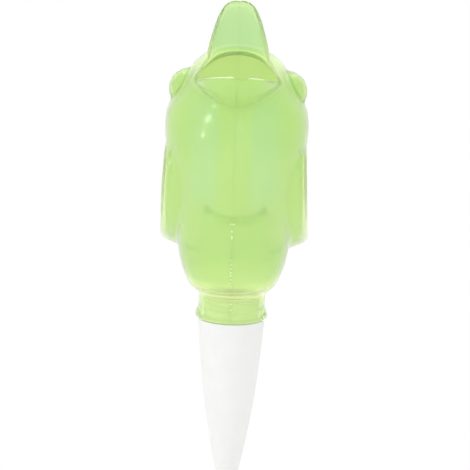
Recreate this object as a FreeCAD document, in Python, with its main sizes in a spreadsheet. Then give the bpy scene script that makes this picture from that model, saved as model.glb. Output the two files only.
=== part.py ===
import FreeCAD, Part
import math
import os

from FreeCAD import Placement, Rotation, Vector

# A watering reservoir in the form of a bird with an open beak, standing on a porous cone.
# Millimetres, +Z up, the bird faces -Y. The origin lies on the axis of the neck, where its
# rim rests on the shoulder of the cone: that is the line to which the cone goes into soil.

SIZES = {
    # Reservoir: the egg of body and head above the neck
    "neck_height": 10.2,
    "crown_height": 101.3,
    "body_width": 52.8,
    "body_extra_depth": 10.0,
    "shell_wall": 1.4,
    # Neck, its rolled rim and its bore
    "neck_width": 24.4,
    "bore_width": 21.0,
    "rim_overhang": 1.2,
    "rim_height": 3.4,
    # Open beak, measured from the corners of the mouth, which lie below the crown
    "mouth_drop": 9.8,
    "mouth_forward": 12.6,
    "mouth_width": 32.0,
    "mouth_corner_gap": 1.6,
    "upper_beak_length": 30.4,
    "upper_beak_lean": 1.4,
    "palate_lip": 0.8,
    "lower_beak_reach": 23.6,
    "lower_beak_rise": 7.5,
    "lower_beak_depth": 13.0,
    # Eyes
    "eye_width": 15.0,
    "eye_spread": 34.6,
    "eye_back": 3.5,
    "eye_drop": 15.6,
    # Wings
    "wing_span": 53.4,
    "wing_root": 24.0,
    "wing_length": 50.0,
    "wing_breadth": 31.0,
    "wing_spread": 5.0,
    "wing_edge": 1.4,
    "wing_back": 6.5,
    "wing_height": 45.2,
    "wing_tilt": 42.0,
    "wing_lean": 2.2,
    # Tail
    "tail_reach": 39.5,
    "tail_root": 22.0,
    "tail_width": 31.0,
    "tail_thickness": 19.0,
    "tail_root_height": 41.5,
    "tail_tip_height": 26.5,
    # Porous cone with its well and spigot
    "cone_width": 24.4,
    "cone_length": 64.5,
    "cone_wall": 3.0,
    "spigot_width": 18.0,
    "spigot_height": 8.6,
    "spigot_bore": 11.6,
    # Seal between the spigot and the neck
    "seal_height": 7.4,
    "seal_lift": 0.3,
    "seal_rib": 1.2,
    "seal_clearance": 0.05,
    "rib_clearance": 0.05,
    # How far a cutting tool runs past what it cuts
    "overrun": 2.0,
}

# An inner skin keeps at least this share of the outer size, where a form is thinner than its wall
LEAST_SHARE = 0.2

# Height share, shares of half the neck, of half the body's width and of half its extra depth,
# and the centre's place behind the axis as a share of half the body's width
BODY_SHARES = [
    (0.000, 1.015, 0.000, 0.00, 0.000),
    (0.024, 0.620, 0.290, 0.04, 0.000),
    (0.057, 0.300, 0.505, 0.14, -0.007),
    (0.124, 0.100, 0.680, 0.42, -0.021),
    (0.190, 0.000, 0.769, 0.69, -0.025),
    (0.371, 0.000, 0.848, 1.22, -0.012),
    (0.508, 0.000, 0.909, 1.31, 0.006),
    (0.640, 0.000, 0.990, 0.97, 0.038),
    (0.747, 0.000, 0.965, 0.80, 0.068),
    (0.836, 0.000, 0.785, 1.05, 0.078),
    (0.902, 0.000, 0.640, 0.96, 0.094),
    (0.966, 0.000, 0.460, 0.13, 0.132),
    (0.992, 0.000, 0.270, 0.06, 0.164),
    (1.000, 0.000, 0.090, 0.02, 0.164),
]

# Height share of the upper beak, its half width as a share of half the mouth, its depth as a share of that
UPPER_BEAK_SHARES = [
    (-0.20, 0.70, 0.60),
    (0.00, 1.00, 0.97),
    (0.12, 0.90, 0.99),
    (0.27, 0.75, 0.985),
    (0.38, 0.70, 0.965),
    (0.53, 0.635, 0.915),
    (0.76, 0.51, 0.70),
    (0.90, 0.39, 0.46),
    (0.965, 0.29, 0.37),
    (1.00, 0.14, 0.35),
]

# Depth share of the lower beak below its rim, half width share, length share
LOWER_BEAK_SHARES = [
    (-0.08, 1.03, 1.01),
    (0.08, 0.965, 0.97),
    (0.37, 0.80, 0.82),
    (0.65, 0.56, 0.605),
    (0.82, 0.365, 0.425),
    (1.00, 0.19, 0.22),
]

# Reach share of the tail, half width share, thickness share, share of the fall from root to tip
TAIL_SHARES = [
    (0.00, 1.00, 1.00, 0.00),
    (0.46, 0.90, 0.74, 0.38),
    (0.80, 0.68, 0.42, 0.78),
    (0.95, 0.52, 0.26, 0.96),
    (1.00, 0.36, 0.16, 1.00),
]

# Depth share of the cone below its shoulder, radius share
CONE_SHARES = [
    (0.00, 1.000),
    (0.12, 0.952),
    (0.30, 0.860),
    (0.50, 0.728),
    (0.68, 0.570),
    (0.83, 0.415),
    (0.93, 0.285),
    (0.98, 0.165),
    (1.00, 0.060),
]

# Depth share below the shoulder and share of the cone's radius there, at the well's top and bottom
WELL_SHARES = [(0.12, 0.952), (0.80, 0.450)]

SEAL_RIBS = 3

os.makedirs("parts", exist_ok=True)
doc = FreeCAD.newDocument("SelfWateringSpike")
sheet = doc.addObject("Spreadsheet::Sheet", "Sizes")
for row, (name, value) in enumerate(SIZES.items(), start=1):
    sheet.set(f"A{row}", name)
    sheet.set(f"B{row}", str(value))
    sheet.setAlias(f"B{row}", name)
doc.recompute()


def bound(kind, name, sizes, turn=Rotation()):
    """An object whose properties, its place among them, follow the sheet."""
    made = doc.addObject(kind, name)
    made.Placement = Placement(Vector(), turn)
    for prop, size in sizes.items():
        made.setExpression(prop, size)
    return made


def place(x="0", y="0", z="0"):
    return {"Placement.Base.x": x, "Placement.Base.y": y, "Placement.Base.z": z}


def ring(name, longer, shorter, where, turn=Rotation()):
    """An ellipse with its longer axis along the turned X."""
    radii = {"MajorRadius": longer, "MinorRadius": shorter}
    return bound("Part::Ellipse", name, {**radii, **where}, turn)


def loft(name, rings, ruled=False):
    made = doc.addObject("Part::Loft", name)
    made.Sections = rings
    made.Solid = True
    made.Ruled = ruled
    return made


def fuse(name, shapes):
    made = doc.addObject("Part::MultiFuse", name)
    made.Shapes = shapes
    return made


def cut(name, base, tool):
    made = doc.addObject("Part::Cut", name)
    made.Base = base
    made.Tool = tool
    return made


def drum(name, width, height, bottom):
    """A cylinder on the axis of the neck."""
    return bound("Part::Cylinder", name, {"Radius": f"({width}) / 2", "Height": height, **place(z=bottom)})


MOUTH_HEIGHT = "(Sizes.crown_height - Sizes.mouth_drop)"

# Level rings with the longer axis front to back, and upright rings across the body
FRONT_TO_BACK = Rotation(Vector(0, 0, 1), 90)
UPRIGHT = Rotation(Vector(1, 0, 0), 90)


def side_turn():
    """Turns a ring to face left, its longer axis falling towards the tail, its top leaning inwards."""
    tilt = math.radians(sheet.get("wing_tilt"))
    lean = math.radians(sheet.get("wing_lean"))
    up = Vector(math.sin(lean), 0, math.cos(lean))
    back = Vector(0, 1, 0)
    along = back * math.cos(tilt) - up * math.sin(tilt)
    across = back * math.sin(tilt) + up * math.cos(tilt)
    return Rotation(along, across, along.cross(across), "XYZ")


def rim_turn():
    """Turns a ring to lie parallel to the rim of the lower beak, its longer axis towards the tip."""
    reach = sheet.get("lower_beak_reach")
    rise = sheet.get("lower_beak_rise")
    ahead = Vector(0, -reach, rise).normalize()
    return Rotation(ahead, Vector(1, 0, 0), ahead.cross(Vector(1, 0, 0)), "XYZ")


def inset(size, skin):
    """A half size, skin less."""
    return f"max({size} - {skin}; {LEAST_SHARE} * ({size}))"


def egg(skin):
    """Body and head, skin deep inside their outer face."""
    rise = "(Sizes.crown_height - Sizes.neck_height)"
    rings = []
    for up, neck, width, depth, back in BODY_SHARES:
        where = place(
            y=f"Sizes.body_width / 2 * {back}",
            z=f"Sizes.neck_height + {rise} * {up} + {skin} * {1 - 2 * up}",
        )
        half_width = f"Sizes.neck_width / 2 * {neck} + Sizes.body_width / 2 * {width}"
        half_depth = f"{half_width} + Sizes.body_extra_depth / 2 * {depth}"
        radii = inset(half_depth, skin), inset(half_width, skin)
        rings.append(ring("EggRing", *radii, where, FRONT_TO_BACK))
    return loft("Egg", rings)


def upper_beak(skin):
    """Upper beak as a whole cone: its front half is cut off along the edge of the palate."""
    rings = []
    for up, width, depth in UPPER_BEAK_SHARES:
        where = place(
            y=f"Sizes.palate_lip - Sizes.mouth_forward - Sizes.upper_beak_lean * {up}",
            z=f"{MOUTH_HEIGHT} + Sizes.upper_beak_length * {up} - {skin} * {abs(up)}",
        )
        half_width = f"Sizes.mouth_width / 2 * {width}"
        half_depth = f"{half_width} * {depth}"
        rings.append(ring("UpperBeakRing", inset(half_width, skin), inset(half_depth, skin), where))
    return loft("UpperBeak", rings)


def lower_beak(skin):
    """Scoop of the lower beak, open at the top once the mouth is cut."""
    length = "sqrt(Sizes.lower_beak_reach ^ 2 + Sizes.lower_beak_rise ^ 2)"
    rings = []
    for down, width, reach in LOWER_BEAK_SHARES:
        depth = f"(Sizes.lower_beak_depth * {down} - {skin} * {abs(down)})"
        where = place(
            y=f"-Sizes.mouth_forward - {depth} * Sizes.lower_beak_rise / {length}",
            z=f"{MOUTH_HEIGHT} - {depth} * Sizes.lower_beak_reach / {length}",
        )
        half_length = inset(f"{length} * {reach}", skin)
        half_width = inset(f"Sizes.mouth_width / 2 * {width}", skin)
        rings.append(ring("LowerBeakRing", half_length, half_width, where, rim_turn()))
    return loft("LowerBeak", rings)


def eye(skin):
    where = place("-Sizes.eye_spread / 2", "Sizes.eye_back", "Sizes.crown_height - Sizes.eye_drop")
    return bound("Part::Sphere", "Eye", {"Radius": inset("Sizes.eye_width / 2", skin), **where})


def wing(skin):
    """Raised wing: a pad that spreads towards its root and has a bevelled edge."""
    reaches = [
        ("Sizes.wing_root / 2", "Sizes.wing_spread"),
        (f"Sizes.wing_span / 2 - Sizes.wing_edge - {skin}", "0"),
        (f"Sizes.wing_span / 2 - {skin}", "-Sizes.wing_edge"),
    ]
    rings = []
    for reach, spread in reaches:
        where = place(f"-({reach})", "Sizes.wing_back", "Sizes.wing_height")
        half_length = f"Sizes.wing_length / 2 + {spread} - {skin}"
        half_breadth = f"Sizes.wing_breadth / 2 + {spread} - {skin}"
        rings.append(ring("WingRing", half_length, half_breadth, where, side_turn()))
    return loft("Wing", rings, ruled=True)


def tail(skin):
    reach = "(Sizes.tail_reach - Sizes.tail_root)"
    fall = "(Sizes.tail_root_height - Sizes.tail_tip_height)"
    rings = []
    for out, width, thickness, down in TAIL_SHARES:
        where = place(
            y=f"Sizes.tail_root + {reach} * {out} - {skin} * {out}",
            z=f"Sizes.tail_root_height - {fall} * {down}",
        )
        half_width = inset(f"Sizes.tail_width / 2 * {width}", skin)
        half_thickness = inset(f"Sizes.tail_thickness / 2 * {thickness}", skin)
        rings.append(ring("TailRing", half_width, half_thickness, where, UPRIGHT))
    return loft("Tail", rings)


def mouth():
    """Wedge between the two beaks, its blunt edge at the corners of the mouth."""
    height = "(Sizes.upper_beak_length + Sizes.overrun)"
    across = "(Sizes.mouth_width / 2 + Sizes.overrun)"
    corners = {
        "Xmin": "0",
        "Xmax": "Sizes.mouth_corner_gap",
        "X2min": f"Sizes.upper_beak_lean * {height} / Sizes.upper_beak_length",
        "X2max": f"Sizes.lower_beak_reach * {height} / Sizes.lower_beak_rise",
        "Ymin": "0",
        "Ymax": height,
        "Zmin": f"-{across}",
        "Zmax": across,
        "Z2min": f"-{across}",
        "Z2max": across,
    }
    where = place(y="-Sizes.mouth_forward", z=MOUTH_HEIGHT)
    forward = Rotation(Vector(0, -1, 0), Vector(0, 0, 1), Vector(-1, 0, 0), "XYZ")
    return bound("Part::Wedge", "Mouth", {**corners, **where}, forward)


def forms(skin, wedge):
    """Body, beaks, tail and the left eye and wing, skin deep inside their outer face, open at the mouth."""
    head = [cut("OpenForm", make(skin), wedge) for make in (egg, upper_beak, lower_beak)]
    return head + [tail(skin), eye(skin), wing(skin)]


def reservoir():
    """Thin shell open at the beak and at the neck, moulded as two halves that meet at X = 0."""
    lap = "(Sizes.shell_wall + Sizes.overrun)"
    neck = drum("Neck", "Sizes.neck_width", f"Sizes.neck_height + {lap}", "0")
    rim = bound("Part::Torus", "Rim", {
        "Radius1": "Sizes.neck_width / 2 + Sizes.rim_overhang - Sizes.rim_height / 2",
        "Radius2": "Sizes.rim_height / 2",
        **place(z="Sizes.rim_height / 2"),
    })
    bore = drum("Bore", "Sizes.bore_width", f"Sizes.neck_height + Sizes.overrun + {lap}", "-Sizes.overrun")
    wedge = mouth()
    outside = fuse("Outside", forms("0", wedge) + [neck, rim])
    inside = fuse("Inside", forms("Sizes.shell_wall", wedge) + [bore])
    reach = "(Sizes.body_width + Sizes.wing_span)"
    left_space = bound("Part::Box", "LeftSpace", {
        "Length": reach,
        "Width": f"2 * {reach}",
        "Height": f"2 * {reach}",
        **place(f"-{reach}", f"-{reach}", "-Sizes.overrun"),
    })
    left_outside = doc.addObject("Part::Common", "LeftOutside")
    left_outside.Base = outside
    left_outside.Tool = left_space
    left = cut("left_body_shell", left_outside, inside)
    left.Label = "left_body_shell"
    right = doc.addObject("Part::Mirroring", "right_body_shell")
    right.Source = left
    right.Normal = Vector(1, 0, 0)
    right.Label = "right_body_shell"


def clay_cone():
    wall = "Sizes.cone_wall"
    rings = []
    for down, radius in CONE_SHARES:
        size = f"Sizes.cone_width / 2 * {radius}"
        rings.append(ring("ConeRing", size, size, place(z=f"-Sizes.cone_length * {down}")))
    spigot = drum("Spigot", "Sizes.spigot_width", f"Sizes.spigot_height + {wall}", f"-{wall}")
    (top, top_radius), (bottom, bottom_radius) = WELL_SHARES
    well = bound("Part::Cone", "Well", {
        "Radius1": inset(f"Sizes.cone_width / 2 * {bottom_radius}", wall),
        "Radius2": inset(f"Sizes.cone_width / 2 * {top_radius}", wall),
        "Height": f"Sizes.cone_length * {bottom - top}",
        **place(z=f"-Sizes.cone_length * {bottom}"),
    })
    throat_depth = f"(Sizes.cone_length * {top} + {wall})"
    throat_length = f"Sizes.spigot_height + {wall} + {throat_depth}"
    throat = drum("Throat", "Sizes.spigot_bore", throat_length, f"-{throat_depth}")
    outside = fuse("ConeOutside", [loft("ConeBody", rings), spigot])
    made = cut("clay_cone", outside, fuse("ConeInside", [well, throat]))
    made.Label = "clay_cone"


def cone_seal():
    """Soft sleeve on the spigot with ribs that fill the bore of the neck."""
    grip = "(Sizes.spigot_width + 2 * Sizes.seal_clearance)"
    rib_reach = "(Sizes.bore_width / 2 - Sizes.rib_clearance)"
    sleeve_width = f"2 * {rib_reach} - Sizes.seal_rib / 2"
    sleeve = drum("Sleeve", sleeve_width, "Sizes.seal_height", "Sizes.seal_lift")
    ribs = []
    for index in range(SEAL_RIBS):
        level = f"Sizes.seal_lift + Sizes.seal_height * {(index + 0.5) / SEAL_RIBS}"
        ribs.append(bound("Part::Torus", "Rib", {
            "Radius1": f"{rib_reach} - Sizes.seal_rib / 2",
            "Radius2": "Sizes.seal_rib / 2",
            **place(z=level),
        }))
    hole = drum("Grip", grip, "Sizes.seal_height + 2 * Sizes.overrun", "-Sizes.overrun")
    made = cut("cone_seal", fuse("RibbedSleeve", [sleeve] + ribs), hole)
    made.Label = "cone_seal"


reservoir()
clay_cone()
cone_seal()
doc.recompute()

for made in doc.Objects:
    if "Invalid" in made.State or "Error" in made.State:
        raise RuntimeError(f"{made.Label} failed: {made.State}")
for label in ("left_body_shell", "right_body_shell", "clay_cone", "cone_seal"):
    shape = doc.getObjectsByLabel(label)[0].Shape
    if shape.isNull() or not shape.isValid() or len(shape.Solids) != 1:
        raise RuntimeError(f"{label} is not one sound solid")
    shape.exportStep(f"parts/{label}.step")
    print(label, round(shape.Volume), shape.BoundBox)
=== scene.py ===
import math

import bpy
from mathutils import Matrix, Vector


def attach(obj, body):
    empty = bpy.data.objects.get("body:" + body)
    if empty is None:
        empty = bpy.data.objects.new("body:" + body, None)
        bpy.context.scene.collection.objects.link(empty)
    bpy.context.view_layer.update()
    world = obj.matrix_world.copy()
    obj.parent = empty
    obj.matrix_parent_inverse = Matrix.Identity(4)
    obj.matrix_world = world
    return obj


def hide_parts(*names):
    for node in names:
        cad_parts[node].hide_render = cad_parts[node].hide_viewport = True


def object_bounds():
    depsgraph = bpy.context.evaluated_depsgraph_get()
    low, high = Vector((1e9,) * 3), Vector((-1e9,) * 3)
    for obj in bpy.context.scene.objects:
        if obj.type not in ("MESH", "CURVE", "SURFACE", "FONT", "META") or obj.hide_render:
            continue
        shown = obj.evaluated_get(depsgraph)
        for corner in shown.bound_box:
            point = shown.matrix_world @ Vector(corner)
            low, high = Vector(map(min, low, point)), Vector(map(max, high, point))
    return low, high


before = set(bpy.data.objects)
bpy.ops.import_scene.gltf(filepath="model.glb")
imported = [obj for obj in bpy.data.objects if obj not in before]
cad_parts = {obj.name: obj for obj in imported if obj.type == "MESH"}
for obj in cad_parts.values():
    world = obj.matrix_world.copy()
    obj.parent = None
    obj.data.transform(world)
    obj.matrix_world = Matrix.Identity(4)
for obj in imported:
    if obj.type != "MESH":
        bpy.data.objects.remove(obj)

# A watering reservoir in the form of a bird with an open beak, on a porous cone.
# Metres, +Z up, the bird faces -Y, the origin on the shoulder of the cone.

MM = 0.001
solid_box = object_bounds()

# Body and neck
NECK_HEIGHT, CROWN_HEIGHT = 10.2 * MM, 101.3 * MM
BODY_WIDTH, BODY_EXTRA_DEPTH = 52.8 * MM, 10 * MM
WALL = 1.4 * MM
NECK_WIDTH, BORE_WIDTH = 24.4 * MM, 21 * MM
RIM_OVERHANG, RIM_HEIGHT = 1.2 * MM, 3.4 * MM

# Mouth and beak
MOUTH_HEIGHT, MOUTH_FORWARD, MOUTH_WIDTH = 91.5 * MM, 12.6 * MM, 32 * MM
MOUTH_CORNER_GAP = 1.6 * MM
UPPER_BEAK_LENGTH, UPPER_BEAK_LEAN, PALATE_LIP = 30.4 * MM, 1.4 * MM, 0.8 * MM
LOWER_BEAK_REACH, LOWER_BEAK_RISE, LOWER_BEAK_DEPTH = 23.6 * MM, 7.5 * MM, 13 * MM
UPPER_NOTCH_RADIUS, UPPER_NOTCH_LENGTH, UPPER_NOTCH_RISE = 1 * MM, 14 * MM, 0.5 * MM
LOWER_NOTCH_RADIUS, LOWER_NOTCH_LENGTH, LOWER_NOTCH_RISE = 5 * MM, 12 * MM, 3.2 * MM
LOWER_NOTCH_ASIDE = 2 * MM

# Eyes, wings and tail
EYE_WIDTH, EYE_SPREAD, EYE_BACK, EYE_HEIGHT = 15 * MM, 35.8 * MM, 3.5 * MM, 84.9 * MM
WING_SPAN, WING_ROOT, WING_LENGTH, WING_BREADTH = 52.9 * MM, 24 * MM, 50 * MM, 31 * MM
WING_SPREAD, WING_EDGE, WING_BACK, WING_HEIGHT = 5 * MM, 1.4 * MM, 6.5 * MM, 45.2 * MM
WING_TILT, WING_LEAN, WING_TOE = math.radians(42), math.radians(2.2), math.radians(1.2)
TAIL_REACH, TAIL_ROOT, TAIL_WIDTH, TAIL_THICKNESS = 39.5 * MM, 22 * MM, 31 * MM, 19 * MM
TAIL_ROOT_HEIGHT, TAIL_TIP_HEIGHT = 41.5 * MM, 26.5 * MM

# Seam and making
SEAM_GAP = 0.02 * MM
BEAD_DEPTH = 0.35 * MM
IN_FRONT = 80 * MM
OVERRUN = 2 * MM
LEAST_INSET_SHARE = 0.2
FACETS, STEPS_PER_ROW = 96, 5
SKIN_VOXEL, SHELL_VOXEL = 0.6 * MM, 0.52 * MM
SKIN_SMOOTHING, SHELL_SMOOTHING = 8, 5
SHADING_ANGLE = math.radians(40)

# Height share, shares of half the neck, of half the body's width and of half its extra depth,
# and the centre's place behind the axis as a share of half the body's width
BODY_SHARES = [
    (0.000, 1.015, 0.000, 0.00, 0.000),
    (0.024, 0.620, 0.290, 0.04, 0.000),
    (0.057, 0.300, 0.505, 0.14, -0.007),
    (0.124, 0.100, 0.680, 0.42, -0.021),
    (0.190, 0.000, 0.769, 0.69, -0.025),
    (0.371, 0.000, 0.848, 1.22, -0.012),
    (0.508, 0.000, 0.909, 1.31, 0.006),
    (0.640, 0.000, 0.990, 0.97, 0.038),
    (0.747, 0.000, 0.965, 0.80, 0.068),
    (0.836, 0.000, 0.785, 1.05, 0.078),
    (0.902, 0.000, 0.675, 0.96, 0.094),
    (0.954, 0.000, 0.515, 0.13, 0.125),
    (0.978, 0.000, 0.330, 0.06, 0.150),
    (0.986, 0.000, 0.110, 0.02, 0.150),
]

# Height share of the upper beak, its half width as a share of half the mouth,
# its depth as a share of that
UPPER_BEAK_SHARES = [
    (-0.20, 0.70, 0.60),
    (0.00, 1.00, 0.97),
    (0.12, 0.90, 0.99),
    (0.27, 0.75, 0.985),
    (0.38, 0.70, 0.965),
    (0.53, 0.635, 0.915),
    (0.76, 0.51, 0.70),
    (0.90, 0.39, 0.46),
    (0.965, 0.29, 0.37),
    (1.00, 0.14, 0.35),
]

# Depth share of the lower beak below its rim, half width share, length share
LOWER_BEAK_SHARES = [
    (-0.08, 1.03, 1.01),
    (0.08, 0.965, 0.97),
    (0.37, 0.80, 0.82),
    (0.65, 0.56, 0.605),
    (0.82, 0.365, 0.425),
    (1.00, 0.19, 0.22),
]

# Reach share of the tail, half width share, thickness share, share of the fall from root to tip
TAIL_SHARES = [
    (0.00, 1.00, 1.00, 0.00),
    (0.46, 0.90, 0.74, 0.38),
    (0.80, 0.68, 0.42, 0.78),
    (0.95, 0.52, 0.26, 0.96),
    (1.00, 0.36, 0.16, 1.00),
]

# Height, half width and half height of each drop on the front seam, in millimetres
WELD_BEADS = [
    (41.8, 1.30, 0.25),
    (39.0, 0.35, 0.50),
    (36.6, 0.35, 0.90),
    (27.4, 0.30, 0.45),
    (25.6, 0.40, 0.40),
    (23.8, 0.30, 0.30),
    (22.2, 0.35, 0.45),
    (20.8, 0.40, 0.35),
    (19.2, 0.30, 0.40),
    (17.6, 0.30, 0.30),
    (16.2, 0.30, 0.35),
    (7.9, 0.35, 0.30),
    (5.6, 0.55, 0.40),
]

# Colour of each place, later ones over earlier ones. The back of the head and the beak have the
# plastic's own tone; the other places carry painted light.
PLASTIC_TONES_AND_PAINTED_LIGHT = {
    "back_of_head": (0.73, 0.94, 0.35),
    # painted reflection: a paler, bluish band on each side of the breast where a strip light would
    # reflect
    "breast": (0.74, 0.95, 0.58),
    "beak": (0.66, 0.92, 0.47),
    # painted light: the end of the tail paler
    "tail_end": (0.81, 0.96, 0.53),
    # painted light: the back wall seen in the open mouth paler, as if lit through the head
    "crown": (0.90, 0.99, 0.66),
    # painted light: the outer faces of the wings paler
    "wing_edge": (0.88, 0.98, 0.64),
    # painted highlight along the cut edge of the upper beak
    "upper_edge": (0.97, 1.0, 0.80),
    # painted highlight along the rim of the lower beak
    "lower_edge_highlight": (1.0, 1.0, 0.95),
    # painted light: the neck paler where the lamps' light doesn't reach inside
    "neck": (0.89, 0.99, 0.63),
}

# Painted light: a faint glow of each place, standing in for the light that milky plastic carries inside
# its wall, and a painted highlight on the middle of the lower beak's rim
PAINTED_GLOWS = {
    # painted light: a glow on the neck
    "neck": (0.01, 0.035, 0.0),
    # painted light: a glow in the crease between neck and body, against its shade
    "neck_crease": (0.05, 0.045, 0.02),
    # painted light: a glow on the back wall seen in the open mouth
    "crown": (0.06, 0.07, 0.03),
    # painted light: a faint glow on the end of the tail
    "tail_end": (0.015, 0.01, 0.01),
    # painted light: a glow on the outer faces of the wings
    "wing_edge": (0.035, 0.04, 0.025),
    # painted light: a glow along the cut edge of the upper beak
    "upper_edge": (0.04, 0.05, 0.02),
    # painted highlight: a bright glow on the middle of the lower beak's rim
    "lip_highlight": (0.32, 0.27, 0.27),
}

# Light and view
WHITE = (1, 1, 1)
WORLD_LIGHT = 0.8
WHITE_RAYS = ("Is Camera Ray", "Is Glossy Ray", "Is Transmission Ray")
LIT_HEIGHT = 40 * MM
FLOOR_SIZE, FLOOR_WHITE_SHARE = 8, 0.97
CAMERA_ELEVATION, CAMERA_YAW = math.radians(13.5), math.radians(1.2)
CAMERA_ROLL = math.radians(1.7)
CAMERA_DISTANCE, CAMERA_NEAR, CAMERA_FAR = 4, 0.1, 20
FRAME_WIDTH, FRAME_CENTRE = 172 * MM, (0.5 * MM, 0, 31.1 * MM)
SENSOR_WIDTH = 36


def smooth_rows(rows):
    """The rows with more between each two, on smooth curves over the first column."""
    def slope(at, column):
        low, high = max(at - 1, 0), min(at + 1, len(rows) - 1)
        return (rows[high][column] - rows[low][column]) / (rows[high][0] - rows[low][0])

    out = []
    for at in range(len(rows) - 1):
        here, there = rows[at], rows[at + 1]
        span = there[0] - here[0]
        for step in range(STEPS_PER_ROW):
            t = step / STEPS_PER_ROW
            row = [here[0] + span * t]
            for column in range(1, len(here)):
                a, b = here[column], there[column]
                ta, tb = slope(at, column) * span, slope(at + 1, column) * span
                row.append(
                    a * (1 + 2 * t) * (1 - t) ** 2 + ta * t * (1 - t) ** 2
                    + b * t * t * (3 - 2 * t) - tb * t * t * (1 - t)
                )
            out.append(row)
    return out + [list(rows[-1])]


def inset(size, skin):
    return max(size - skin, LEAST_INSET_SHARE * size)


def keep_only(made):
    bpy.ops.object.select_all(action="DESELECT")
    made.select_set(True)
    bpy.context.view_layer.objects.active = made


def apply_place():
    bpy.ops.object.transform_apply(location=True, rotation=True, scale=True)


def primitive(add, **settings):
    """Adds a primitive with nothing else selected, its place in its mesh."""
    bpy.ops.object.select_all(action="DESELECT")
    add(**settings)
    apply_place()
    return bpy.context.object


def ring_stack(name, rings):
    """A closed form drawn up through level ellipses, each (centre, half width, half depth)."""
    bpy.ops.object.select_all(action="DESELECT")
    centre, wide, deep = rings[0]
    bpy.ops.mesh.primitive_circle_add(vertices=FACETS, radius=1, fill_type="NGON", location=centre)
    made = bpy.context.object
    made.name = name
    bpy.ops.object.mode_set(mode="EDIT")
    bpy.ops.transform.resize(value=(wide, deep, 1), center_override=centre)
    for new_centre, new_wide, new_deep in rings[1:]:
        move = Vector(new_centre) - Vector(centre)
        bpy.ops.mesh.extrude_region_move(TRANSFORM_OT_translate={"value": move})
        growth = (new_wide / wide, new_deep / deep, 1)
        bpy.ops.transform.resize(value=growth, center_override=new_centre)
        centre, wide, deep = new_centre, new_wide, new_deep
    bpy.ops.mesh.select_all(action="SELECT")
    bpy.ops.mesh.normals_make_consistent(inside=False)
    bpy.ops.object.mode_set(mode="OBJECT")
    apply_place()
    return made


def set_down(made, turn, at):
    """Turns a form that was built level and puts it in its place, in its mesh."""
    made.matrix_world = Matrix.Translation(at) @ turn.to_4x4()
    keep_only(made)
    apply_place()
    return made


def join(parts, name):
    bpy.ops.object.select_all(action="DESELECT")
    for part in parts:
        part.select_set(True)
    bpy.context.view_layer.objects.active = parts[0]
    bpy.ops.object.join()
    parts[0].name = name
    return parts[0]


def finish_with(made, kind, **settings):
    """Adds a modifier and applies it."""
    keep_only(made)
    modifier = made.modifiers.new(kind.title(), kind)
    for key, value in settings.items():
        setattr(modifier, key, value)
    bpy.ops.object.modifier_apply(modifier=modifier.name)


def melt(made, voxel, rounds):
    """Makes one even skin of a form and rounds its joints and edges."""
    finish_with(made, "REMESH", mode="VOXEL", voxel_size=voxel)
    finish_with(made, "SMOOTH", factor=0.5, iterations=rounds)


def cut(made, tool):
    finish_with(made, "BOOLEAN", operation="DIFFERENCE", object=tool, solver="MANIFOLD")
    bpy.data.objects.remove(tool)


def egg(skin):
    """Body and head."""
    rise = CROWN_HEIGHT - NECK_HEIGHT
    rings = []
    for up, neck, width, depth, back in smooth_rows(BODY_SHARES):
        half_width = NECK_WIDTH / 2 * neck + BODY_WIDTH / 2 * width
        half_depth = half_width + BODY_EXTRA_DEPTH / 2 * depth
        centre = (0, BODY_WIDTH / 2 * back, NECK_HEIGHT + rise * up + skin * (1 - 2 * up))
        rings.append((centre, inset(half_width, skin), inset(half_depth, skin)))
    return ring_stack("egg", rings)


def upper_beak(skin):
    rings = []
    for up, width, depth in smooth_rows(UPPER_BEAK_SHARES):
        half_width = MOUTH_WIDTH / 2 * width
        centre = (
            0,
            PALATE_LIP - MOUTH_FORWARD - UPPER_BEAK_LEAN * up,
            MOUTH_HEIGHT + UPPER_BEAK_LENGTH * up - skin * abs(up),
        )
        rings.append((centre, inset(half_width, skin), inset(half_width * depth, skin)))
    return ring_stack("upper_beak", rings)


def lower_beak(skin):
    """Built level, its rim up, then tipped up at the front."""
    length = math.hypot(LOWER_BEAK_REACH, LOWER_BEAK_RISE)
    rings = []
    for down, width, reach in reversed(smooth_rows(LOWER_BEAK_SHARES)):
        centre = (0, 0, -(LOWER_BEAK_DEPTH * down - skin * abs(down)))
        rings.append((centre, inset(MOUTH_WIDTH / 2 * width, skin), inset(length * reach, skin)))
    turn = Matrix.Rotation(-math.atan2(LOWER_BEAK_RISE, LOWER_BEAK_REACH), 3, "X")
    return set_down(ring_stack("lower_beak", rings), turn, (0, -MOUTH_FORWARD, MOUTH_HEIGHT))


def eye(side, skin):
    return primitive(
        bpy.ops.mesh.primitive_uv_sphere_add,
        segments=64,
        ring_count=40,
        radius=EYE_WIDTH / 2 - skin,
        location=(side * EYE_SPREAD / 2, EYE_BACK, EYE_HEIGHT),
    )


def wing(side, skin):
    """Built level, its outer face up, then turned to face the side."""
    half_length, half_breadth = WING_LENGTH / 2, WING_BREADTH / 2
    rings = [
        ((0, 0, WING_ROOT / 2), half_length + WING_SPREAD - skin, half_breadth + WING_SPREAD - skin),
        ((0, 0, WING_SPAN / 2 - WING_EDGE - skin), half_length - skin, half_breadth - skin),
        ((0, 0, WING_SPAN / 2 - skin), half_length - WING_EDGE - skin, half_breadth - WING_EDGE - skin),
    ]
    up = Vector((-side * math.sin(WING_LEAN), 0, math.cos(WING_LEAN)))
    back = Vector((0, 1, 0))
    along = back * math.cos(WING_TILT) - up * math.sin(WING_TILT)
    outward = Vector((side * math.cos(WING_LEAN), 0, math.sin(WING_LEAN)))
    across = outward.cross(along)
    turn = Matrix.Rotation(side * WING_TOE, 3, "Z") @ Matrix((along, across, outward)).transposed()
    at = (0, WING_BACK - WING_SPAN / 2 * math.sin(WING_TOE), WING_HEIGHT)
    return set_down(ring_stack("wing", rings), turn, at)


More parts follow.
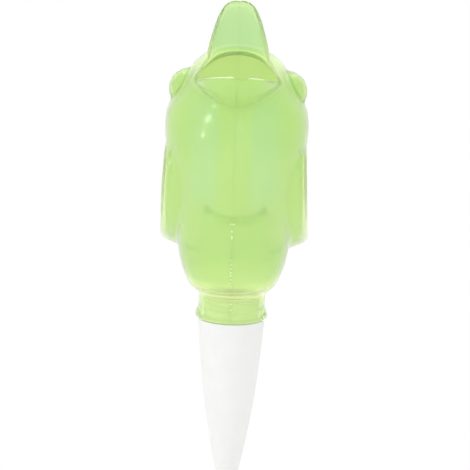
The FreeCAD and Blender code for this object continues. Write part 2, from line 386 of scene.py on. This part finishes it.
def tail(skin):
    """Built upright, then laid back."""
    reach = TAIL_REACH - TAIL_ROOT
    fall = TAIL_ROOT_HEIGHT - TAIL_TIP_HEIGHT
    rings = []
    for out, width, thickness, down in smooth_rows(TAIL_SHARES):
        centre = (0, fall * down, TAIL_ROOT + reach * out - skin * out)
        half_width, half_thickness = TAIL_WIDTH / 2 * width, TAIL_THICKNESS / 2 * thickness
        rings.append((centre, inset(half_width, skin), inset(half_thickness, skin)))
    turn = Matrix.Rotation(math.radians(-90), 3, "X")
    return set_down(ring_stack("tail", rings), turn, (0, 0, TAIL_ROOT_HEIGHT))


def drum(width, bottom, top):
    return ring_stack("drum", [((0, 0, height), width / 2, width / 2) for height in (bottom, top)])


def rim():
    """Rounded rim at the foot of the neck."""
    return primitive(
        bpy.ops.mesh.primitive_torus_add,
        major_radius=NECK_WIDTH / 2 + RIM_OVERHANG - RIM_HEIGHT / 2,
        minor_radius=RIM_HEIGHT / 2,
        major_segments=FACETS,
        minor_segments=24,
        location=(0, 0, RIM_HEIGHT / 2),
    )


def bird(skin):
    """The bird's forms, all set in by the skin, melted into one closed form."""
    parts = [egg(skin), upper_beak(skin), lower_beak(skin), tail(skin)]
    parts += [eye(side, skin) for side in (-1, 1)] + [wing(side, skin) for side in (-1, 1)]
    if skin:
        parts.append(drum(BORE_WIDTH, -OVERRUN, NECK_HEIGHT + WALL + OVERRUN))
    else:
        parts += [drum(NECK_WIDTH, 0, NECK_HEIGHT + WALL + OVERRUN), rim()]
    made = join(parts, "bird")
    melt(made, SKIN_VOXEL, SKIN_SMOOTHING)
    return made


def mouth():
    """Wedge between the two beaks, its blunt edge at the corners of the mouth."""
    height = UPPER_BEAK_LENGTH + OVERRUN
    across = MOUTH_WIDTH / 2 + OVERRUN
    bpy.ops.object.select_all(action="DESELECT")
    bpy.ops.mesh.primitive_cube_add(size=1, location=(0, -MOUTH_FORWARD, MOUTH_HEIGHT + height / 2))
    made = bpy.context.object
    made.name = "mouth"
    top_back, bottom_back = -UPPER_BEAK_LEAN * height / UPPER_BEAK_LENGTH, 0
    top_front, bottom_front = -LOWER_BEAK_REACH * height / LOWER_BEAK_RISE, -MOUTH_CORNER_GAP
    for vertex in made.data.vertices:
        back, front = (top_back, top_front) if vertex.co.z > 0 else (bottom_back, bottom_front)
        vertex.co.x = math.copysign(across, vertex.co.x)
        vertex.co.y = back if vertex.co.y > 0 else front
        vertex.co.z = math.copysign(height / 2, vertex.co.z)
    apply_place()
    return made


def beak_notches():
    """Small dips where the two halves meet at the tips of both beaks."""
    lower_at = (
        LOWER_NOTCH_ASIDE,
        -MOUTH_FORWARD - LOWER_BEAK_REACH,
        MOUTH_HEIGHT + LOWER_BEAK_RISE + LOWER_NOTCH_RISE,
    )
    upper_at = (0, -MOUTH_FORWARD, MOUTH_HEIGHT + UPPER_BEAK_LENGTH + UPPER_NOTCH_RISE)
    sizes = (
        (LOWER_NOTCH_RADIUS, LOWER_NOTCH_LENGTH, lower_at),
        (UPPER_NOTCH_RADIUS, UPPER_NOTCH_LENGTH, upper_at),
    )
    return [
        primitive(
            bpy.ops.mesh.primitive_cylinder_add,
            vertices=FACETS // 2,
            radius=radius,
            depth=length,
            location=at,
            rotation=(math.radians(90), 0, 0),
        )
        for radius, length, at in sizes
    ]


def weld_beads(shell):
    """Drops of plastic squeezed out of the front seam, as one piece."""
    beads = []
    for height, half_width, half_height in WELD_BEADS:
        place = shell.ray_cast((0, -IN_FRONT, height * MM), (0, 1, 0))[1]
        bpy.ops.object.select_all(action="DESELECT")
        bpy.ops.mesh.primitive_uv_sphere_add(
            segments=16, ring_count=10, radius=BEAD_DEPTH, location=place
        )
        bead = bpy.context.object
        bead.scale = (half_width * MM / BEAD_DEPTH, 1, half_height * MM / BEAD_DEPTH)
        apply_place()
        beads.append(bead)
    made = join(beads, "seam_weld")
    keep_only(made)
    bpy.ops.object.shade_smooth()
    return made


def shell_half(shell, side, name):
    """A copy of the shell up to the seam."""
    half = shell.copy()
    half.data = shell.data.copy()
    half.name = name
    bpy.context.collection.objects.link(half)
    keep_only(half)
    bpy.ops.object.mode_set(mode="EDIT")
    bpy.ops.mesh.select_all(action="SELECT")
    bpy.ops.mesh.bisect(
        plane_co=(side * SEAM_GAP / 2, 0, 0), plane_no=(-side, 0, 0), use_fill=True, clear_outer=True
    )
    bpy.ops.object.mode_set(mode="OBJECT")
    bpy.ops.object.shade_smooth_by_angle(angle=SHADING_ANGLE)
    return half


def reservoir():
    """Both halves of the bird's shell and the drops on their seam."""
    shell = bird(0)
    for tool in [bird(WALL), mouth()] + beak_notches():
        cut(shell, tool)
    melt(shell, SHELL_VOXEL, SHELL_SMOOTHING)
    beads = weld_beads(shell)
    halves = [shell_half(shell, -1, "left_shell"), shell_half(shell, 1, "right_shell")]
    bpy.data.objects.remove(shell)
    return halves + [beads]


class Link:
    """An output of a shader node; sums, differences and products with it add Math nodes."""

    def __init__(self, nodes, socket):
        self.nodes, self.socket = nodes, socket

    def maths(self, operation, *values):
        return self.nodes.node("ShaderNodeMath", {"operation": operation}, dict(enumerate(values)))

    def __add__(self, other):
        return self.maths("ADD", self, other)

    def __sub__(self, other):
        return self.maths("SUBTRACT", self, other)

    def __rsub__(self, other):
        return self.maths("SUBTRACT", other, self)

    def __mul__(self, other):
        return self.maths("MULTIPLY", self, other)

    def __abs__(self):
        return self.maths("ABSOLUTE", self)

    __radd__ = __add__
    __rmul__ = __mul__


class Nodes:
    """Nodes of a material or of the world, which come as one shader on an output."""

    def __init__(self, owner, **constants):
        owner.use_nodes = True
        self.tree = owner.node_tree
        self.end = next(node for node in self.tree.nodes if node.type.startswith("OUTPUT"))
        self.surface = next(node for node in self.tree.nodes if node != self.end)
        self.set(**constants)

    def node(self, kind, settings=None, inputs=None, output=0):
        made = self.tree.nodes.new(kind)
        for key, value in (settings or {}).items():
            setattr(made, key, value)
        for key, value in (inputs or {}).items():
            self.feed(made.inputs[key], value)
        return Link(self, made.outputs[output])

    def feed(self, socket, value):
        """Links or sets a socket. A colour is written without its alpha."""
        if isinstance(value, Link):
            self.tree.links.new(value.socket, socket)
        else:
            socket.default_value = (*value, 1) if socket.type == "RGBA" else value

    def set(self, **inputs):
        for socket, value in inputs.items():
            self.feed(self.surface.inputs[socket.replace("_", " ")], value)

    def show_white(self, kind, share):
        """Shows a share of plain white to the rays that make the picture. The rest meet the surface."""
        seen, *others = (self.node("ShaderNodeLightPath", output=ray) for ray in WHITE_RAYS)
        for other in others:
            seen = seen.maths("MAXIMUM", seen, other)
        lit = Link(self, self.surface.outputs[0])
        white = self.node(kind, inputs={"Color": WHITE, "Strength": 1})
        both = self.node("ShaderNodeMixShader", inputs={0: share * seen, 1: lit, 2: white})
        self.feed(self.end.inputs["Surface"], both)


class Finish(Nodes):
    """The nodes of a material, with its patterns on Object coordinates."""

    def __init__(self, name, **constants):
        self.material = bpy.data.materials.new(name)
        super().__init__(self.material, **constants)
        self.place = self.node("ShaderNodeTexCoord", output="Object")

    def ramp(self, value, start, stop):
        """0 to 1 as the value goes from start to stop, in millimetres."""
        inputs = {"Value": value, "From Min": start * MM, "From Max": stop * MM}
        return self.node("ShaderNodeMapRange", {"interpolation_type": "SMOOTHSTEP"}, inputs)

    def band(self, value, start, full, fade, end):
        """Up to 1 from start to full, and down to 0 from fade to end, in millimetres."""
        return self.ramp(value, start, full) * self.ramp(value, end, fade)

    def noise(self, scale, detail=2.0):
        inputs = {"Vector": self.place, "Scale": scale, "Detail": detail}
        return self.node("ShaderNodeTexNoise", inputs=inputs)

    def mix(self, factor, first, second):
        inputs = {0: factor, 6: first, 7: second}
        return self.node("ShaderNodeMix", {"data_type": "RGBA"}, inputs, output=2)

    def bump(self, height, distance):
        return self.node("ShaderNodeBump", inputs={"Height": height, "Distance": distance})


def plastic_places(finish):
    """A mask for each place where the plastic looks different: the back of the head and the beak by
    their own tone, the others by painted light.
    """
    ramp, band = finish.ramp, finish.band
    across, along, height = (
        finish.node("ShaderNodeSeparateXYZ", inputs={0: finish.place}, output=axis) for axis in "XYZ"
    )
    across = abs(across)
    above = height - MOUTH_HEIGHT
    upper_cut = along + MOUTH_FORWARD + above * (UPPER_BEAK_LEAN / UPPER_BEAK_LENGTH)
    lower_cut = above + (along + MOUTH_FORWARD) * (LOWER_BEAK_RISE / LOWER_BEAK_REACH)
    # The lower beak's rim, where a highlight is painted, brightest in its middle
    lower_edge_highlight = ramp(abs(lower_cut), 1.0, 0.5) * ramp(along, -14, -16)
    return {
        "back_of_head": ramp(along, 2, 22) * ramp(above, -40, -4),
        "breast": band(across, 4, 8, 13, 19) * band(height, 40, 56, 82, 92) * ramp(along, 0, -8),
        "beak": ramp(upper_cut, 1.0, 2.5) * ramp(above, 2, 9),
        "tail_end": ramp(along, 18, 25) * ramp(height, 62, 50),
        "crown": ramp(upper_cut, 0.5, 2.5) * band(above, -1, 5, 6, 13) * ramp(along, 10, -1),
        "wing_edge": ramp(across, 24.6, 25.8) * ramp(height, 70, 60),
        "upper_edge": ramp(abs(upper_cut), 1.8, 0.6) * band(above, 0, 2, 20, 28),
        "lower_edge_highlight": lower_edge_highlight,
        "lip_highlight": lower_edge_highlight * ramp(across, 13, 8),
        "neck": ramp(height, 17.34, 10.2),
        "neck_crease": band(height, 7.5, 9.5, 14, 19),
    }


def green_plastic():
    """Milky plastic under a clear gloss, paler at its edges, partly from the gloss and partly from
    painted highlights, with a bluish painted reflection on the breast and a painted glow in some
    places.
    """
    finish = Finish(
        "green_plastic",
        IOR=1.2,
        Transmission_Weight=0.75,
        Coat_Weight=0.5,
        Coat_IOR=1.4,
        Coat_Roughness=0.14,
        Emission_Strength=1.0,
    )
    places = plastic_places(finish)
    colour = finish.mix(finish.noise(60), (0.74, 0.935, 0.45), (0.77, 0.95, 0.50))
    # The random tone, then the colour of each place over it, most of them painted light
    for place, colour_there in PLASTIC_TONES_AND_PAINTED_LIGHT.items():
        colour = finish.mix(places[place], colour, colour_there)
    glow = (0, 0, 0)
    for place, glow_there in PAINTED_GLOWS.items():
        glow = finish.mix(places[place], glow, glow_there)
    finish.set(
        Base_Color=colour,
        Emission_Color=glow,
        Roughness=0.12 + 0.06 * finish.noise(400),
        Normal=finish.bump(finish.noise(90, 1.0), 0.1 * MM),
    )
    return finish.material


def weld_plastic():
    """The same plastic in drops, cloudier and less smooth."""
    finish = Finish("weld_plastic", IOR=1.45)
    finish.set(
        Base_Color=finish.mix(finish.noise(500), (0.74, 0.90, 0.50), (0.79, 0.93, 0.56)),
        Roughness=0.3 + 0.1 * finish.noise(900),
        Normal=finish.bump(finish.noise(1500), 0.03 * MM),
    )
    return finish.material


def white_clay():
    """Porous, unglazed and matt."""
    finish = Finish("white_clay", IOR=1.5)
    grain = finish.noise(2600, 3.0)
    finish.set(
        Base_Color=finish.mix(finish.noise(140, 3.0), (0.88, 0.88, 0.87), (0.93, 0.93, 0.92)),
        Roughness=0.75 + 0.15 * grain,
        Normal=finish.bump(grain, 0.08 * MM),
    )
    return finish.material


def soft_seal():
    """Pale rubber."""
    finish = Finish("soft_seal", IOR=1.45)
    finish.set(
        Base_Color=finish.mix(finish.noise(300), (0.92, 0.94, 0.84), (0.95, 0.96, 0.88)),
        Roughness=0.45 + 0.1 * finish.noise(800),
        Normal=finish.bump(finish.noise(900), 0.03 * MM),
    )
    return finish.material


def cover(made, material):
    made.data.materials.clear()
    made.data.materials.append(material)


def lamp(name, at, width, length, watts):
    """A soft lamp that points at the bird's belly."""
    data = bpy.data.lights.new(name, "AREA")
    data.shape = "RECTANGLE"
    data.size, data.size_y = width, length
    data.energy = watts
    made = bpy.data.objects.new(name, data)
    made.location = at
    look = Vector((0, 0, LIT_HEIGHT)) - Vector(at)
    made.rotation_euler = look.to_track_quat("-Z", "Y").to_euler()
    bpy.context.collection.objects.link(made)


def studio():
    scene = bpy.context.scene
    scene.view_settings.view_transform = "Standard"
    scene.world = bpy.data.worlds.new("studio")
    Nodes(scene.world, Color=WHITE, Strength=WORLD_LIGHT).show_white("ShaderNodeBackground", 1)
    lamp("key", (-0.70, -0.42, 0.49), 0.14, 0.16, 0.8)
    lamp("low_key", (-0.71, -0.40, 0.20), 0.05, 0.08, 0.25)
    lamp("fill", (0.25, -0.9, 0.35), 0.6, 0.6, 0.8)
    lamp("back", (0, 0.55, 0.95), 1.0, 0.12, 4)


def floor():
    """Pale and plain. The camera sees it nearly white, with a trace of the shadow."""
    bpy.ops.object.select_all(action="DESELECT")
    bpy.ops.mesh.primitive_plane_add(size=FLOOR_SIZE, location=(0, 0, solid_box[0].z))
    made = bpy.context.object
    made.name = "floor"
    material = bpy.data.materials.new("floor")
    nodes = Nodes(material, Base_Color=(0.95, 0.95, 0.95), Roughness=0.9)
    nodes.show_white("ShaderNodeEmission", FLOOR_WHITE_SHARE)
    cover(made, material)


def camera():
    data = bpy.data.cameras.new("camera")
    data.sensor_width = SENSOR_WIDTH
    data.lens = SENSOR_WIDTH * CAMERA_DISTANCE / FRAME_WIDTH
    data.clip_start, data.clip_end = CAMERA_NEAR, CAMERA_FAR
    made = bpy.data.objects.new("camera", data)
    up, level = math.sin(CAMERA_ELEVATION), math.cos(CAMERA_ELEVATION)
    back = Vector((math.sin(CAMERA_YAW) * level, -math.cos(CAMERA_YAW) * level, up))
    made.location = Vector(FRAME_CENTRE) + back * CAMERA_DISTANCE
    made.rotation_mode = "QUATERNION"
    look = (-back).to_track_quat("-Z", "Y")
    made.rotation_quaternion = look @ Matrix.Rotation(CAMERA_ROLL, 3, "Z").to_quaternion()
    bpy.context.collection.objects.link(made)
    bpy.context.scene.camera = made


left_shell, right_shell, seam_weld = reservoir()
plastic = green_plastic()
for half, node in ((left_shell, "left_body_shell"), (right_shell, "right_body_shell")):
    cover(half, plastic)
    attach(half, "reservoir")
    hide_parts(node)
cover(seam_weld, weld_plastic())
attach(seam_weld, "reservoir")
cover(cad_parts["clay_cone"], white_clay())
cover(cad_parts["cone_seal"], soft_seal())
studio()
floor()
camera()
